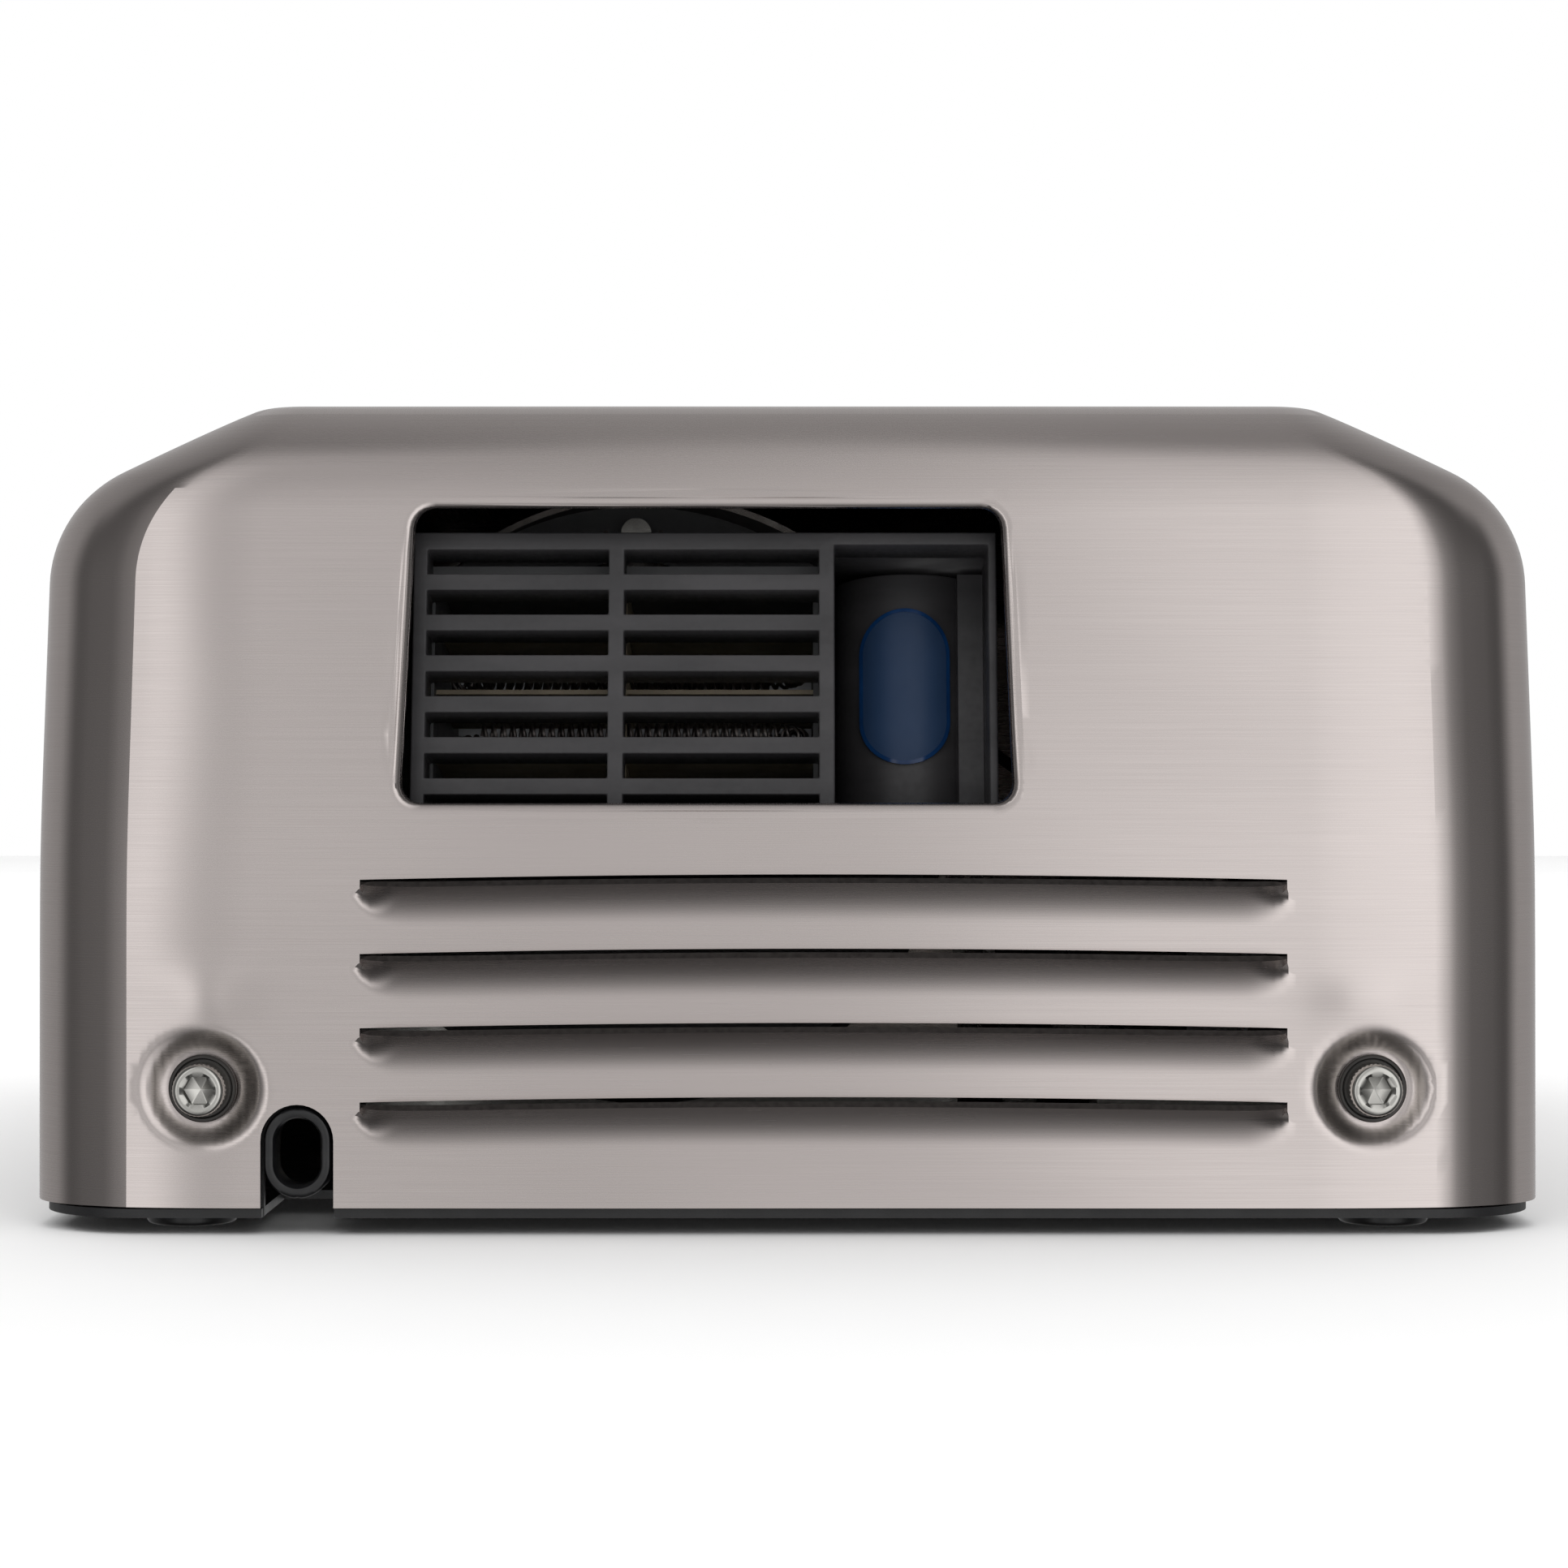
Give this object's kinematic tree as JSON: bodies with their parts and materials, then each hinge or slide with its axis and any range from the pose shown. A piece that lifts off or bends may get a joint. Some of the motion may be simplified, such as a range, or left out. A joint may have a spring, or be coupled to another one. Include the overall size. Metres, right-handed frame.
{
  "type": "hand dryer",
  "caption": "Wall-mounted warm-air hand dryer lying on its back: deep-drawn steel cover with chamfered front, outlet grille, sensor lens, louvres, blower, heater and controls.",
  "frame": {"origin": "centre of the bounding box's base: the wall plane that the four foot pads stand on, under the middle of the dryer", "axes": "+X across the dryer's width, +Y towards its top end (the outlet underside faces -Y), +Z away from the wall"},
  "size_m": [0.2574, 0.3329, 0.143],
  "materials": {
    "brushed_steel": "brushed satin",
    "black_paint": "satin",
    "zinc": "bright",
    "oxide_steel": "dark oxide",
    "black_rubber": "semi-gloss",
    "black_plastic": "satin",
    "lens_blue": "gloss",
    "board_green": "satin",
    "dark_plastic": "gloss",
    "grey_plastic": "satin",
    "mica": "matte",
    "nichrome": "dull",
    "aluminium": "satin",
    "ground_steel": "ground",
    "laminations": "satin",
    "copper": "enamelled",
    "carbon": "matte",
    "white_plastic": "satin",
    "red_plastic": "gloss",
    "wire_red": "satin",
    "wire_white": "satin",
    "wire_black": "satin"
  },
  "bodies": {
    "chassis": {"base_plate": "black_paint", "foot_lower_left": "black_rubber", "foot_lower_right": "black_rubber", "foot_upper_left": "black_rubber", "foot_upper_right": "black_rubber", "cable_grommet": "black_rubber", "outlet_grille": "black_plastic", "sensor_lens": "lens_blue", "sensor_board": "board_green", "sensor_leds": "dark_plastic", "outlet_duct": "grey_plastic", "heater_frame": "mica", "heater_coil": "nichrome", "thermal_cutout": "zinc", "duct_screws": "zinc", "blower_housing_front": "grey_plastic", "blower_housing_rear": "grey_plastic", "diffuser": "black_plastic", "motor_bearings": "ground_steel", "stator_core": "laminations", "field_coils": "copper", "brush_holders": "white_plastic", "carbon_brushes": "carbon", "motor_drive_bracket": "aluminium", "motor_end_bracket": "aluminium", "motor_bolts": "zinc", "motor_mount_ring": "black_rubber", "motor_saddle": "zinc", "motor_strap": "zinc", "saddle_screws": "zinc", "control_board": "board_green", "board_standoffs": "white_plastic", "board_screws": "zinc", "board_capacitor": "dark_plastic", "film_capacitor": "red_plastic", "board_relay": "dark_plastic", "triac_heatsink": "aluminium", "terminal_block": "white_plastic", "terminal_screws": "zinc", "earth_screw": "zinc", "heat_switch_body": "dark_plastic", "speed_control_body": "board_green", "motor_leads": "wire_red", "heater_leads": "wire_white", "sensor_lead": "wire_black", "supply_leads": "wire_black"},
    "cover": {"cover": "brushed_steel", "screw_washers": "oxide_steel"},
    "screw_left": {"cover_screw_left": "zinc"},
    "screw_right": {"cover_screw_right": "zinc"},
    "rotor": {"motor_shaft": "ground_steel", "armature_core": "laminations", "armature_windings": "copper", "commutator": "copper", "impeller_first": "aluminium", "impeller_second": "aluminium", "fan_nut": "zinc"},
    "heat_rocker": {"heat_switch_rocker": "red_plastic"},
    "knob": {"speed_knob": "white_plastic"}
  },
  "joints": [
    {"name": "cover_lift", "type": "slide", "parent": "chassis", "child": "cover", "axis": [0, 0, 1], "range_m": [0, 0.18]},
    {"name": "screw_left_out", "type": "slide", "parent": "cover", "child": "screw_left", "axis": [0, -1, 0], "range_m": [0, 0.012]},
    {"name": "screw_right_out", "type": "slide", "parent": "cover", "child": "screw_right", "axis": [0, -1, 0], "range_m": [0, 0.012]},
    {"name": "rotor_spin", "type": "hinge", "parent": "chassis", "child": "rotor", "pos_m": [-0.028, 0, 0.072], "axis": [0, 1, 0], "continuous": true},
    {"name": "heat_rocker_tilt", "type": "hinge", "parent": "chassis", "child": "heat_rocker", "pos_m": [0.1045, -0.0225, 0.0256], "axis": [1, 0, 0], "range_deg": [-18, 0]},
    {"name": "speed_knob_turn", "type": "hinge", "parent": "chassis", "child": "knob", "pos_m": [0.06, -0.028, 0.026], "axis": [0, 0, 1], "range_deg": [0, 270]}
  ]
}
